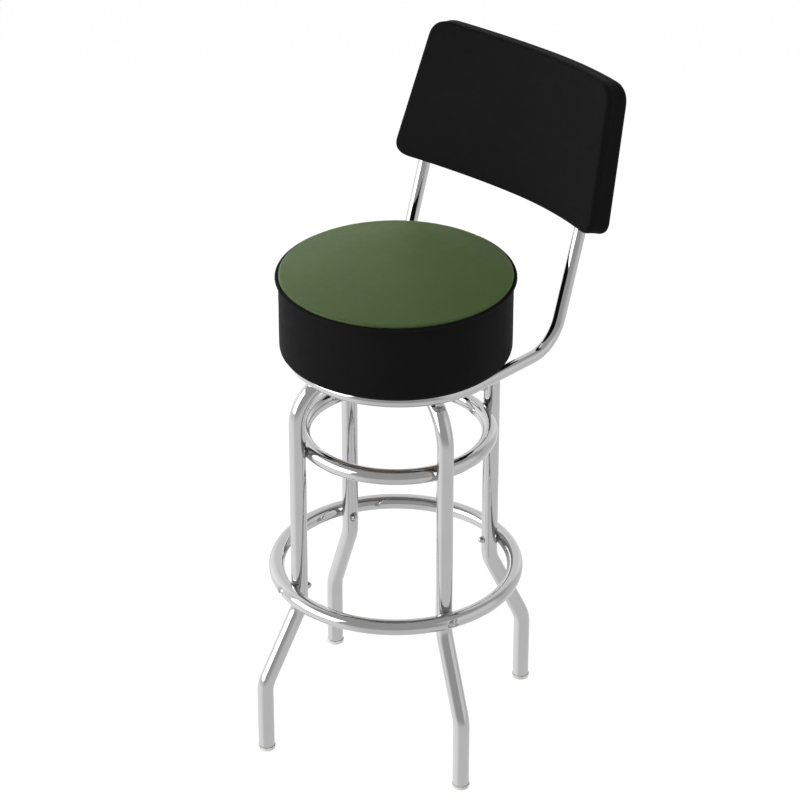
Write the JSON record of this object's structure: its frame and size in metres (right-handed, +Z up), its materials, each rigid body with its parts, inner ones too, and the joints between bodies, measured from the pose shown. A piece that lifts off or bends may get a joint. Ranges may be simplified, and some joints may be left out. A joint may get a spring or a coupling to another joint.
{
  "type": "swivel stool",
  "caption": "Bar-height swivel stool: round boxed seat and bent backrest on a bent-tube back frame, over a chromed base of splayed tube legs with a foot ring and an upper ring.",
  "frame": {"origin": "on the floor, at the centre of the footprint box; the swivel axis is upright at X = 0, Y = -0.0494 m", "axes": "+Z up; -Y to the front, where the sitter faces; +Y to the back, where the backrest is; +X to the right as seen from the front"},
  "size_m": [0.452, 0.5522, 1.0578],
  "materials": {
    "chrome_leg": "polished",
    "chrome_ring": "polished",
    "chrome_frame": "polished",
    "chrome_fastener": "polished",
    "zinc_steel": "satin",
    "plate_steel": "satin",
    "ball_steel": "polished",
    "glide_plastic": "satin",
    "black_vinyl": "satin",
    "green_vinyl": "satin",
    "foam": "matte",
    "plywood": "matte",
    "black_screw": "satin"
  },
  "bodies": {
    "base": {"right_leg": "chrome_leg", "rear_leg": "chrome_leg", "left_leg": "chrome_leg", "front_leg": "chrome_leg", "right_glide": "glide_plastic", "rear_glide": "glide_plastic", "left_glide": "glide_plastic", "front_glide": "glide_plastic", "foot_ring": "chrome_ring", "upper_ring": "chrome_ring", "foot_ring_bolts": "chrome_fastener", "foot_ring_cap_nuts": "chrome_fastener", "upper_ring_screws": "chrome_fastener", "upper_ring_inserts": "zinc_steel", "leg_bolts": "zinc_steel", "leg_lock_washers": "zinc_steel", "leg_weld_nuts": "zinc_steel", "swivel_lower_plate": "plate_steel", "swivel_pivot": "zinc_steel"},
    "ball_cage": {"ball_retainer": "plate_steel", "swivel_balls": "ball_steel"},
    "seat": {"swivel_upper_plate": "plate_steel", "pivot_washer": "zinc_steel", "swivel_screws": "zinc_steel", "back_frame": "chrome_frame", "frame_screws": "chrome_fastener", "frame_saddle_washers": "chrome_fastener", "seat_board": "plywood", "seat_t_nuts": "zinc_steel", "seat_foam": "foam", "seat_side_cover": "black_vinyl", "seat_top_panel": "green_vinyl", "seat_welt": "black_vinyl", "backrest_board": "plywood", "backrest_t_nuts": "zinc_steel", "backrest_foam": "foam", "backrest_cover": "black_vinyl", "backrest_screws": "black_screw"}
  },
  "joints": [
    {"name": "seat_swivel", "type": "hinge", "parent": "base", "child": "seat", "pos_m": [0, -0.05008, 0.66], "axis": [0, 0, 1], "continuous": true},
    {"name": "ball_cage_turn", "type": "hinge", "parent": "base", "child": "ball_cage", "pos_m": [0, -0.05008, 0.655], "axis": [0, 0, 1], "continuous": true}
  ],
  "couplings": [
    {"joint": "ball_cage_turn", "follows": "seat_swivel", "ratio": 0.5}
  ]
}
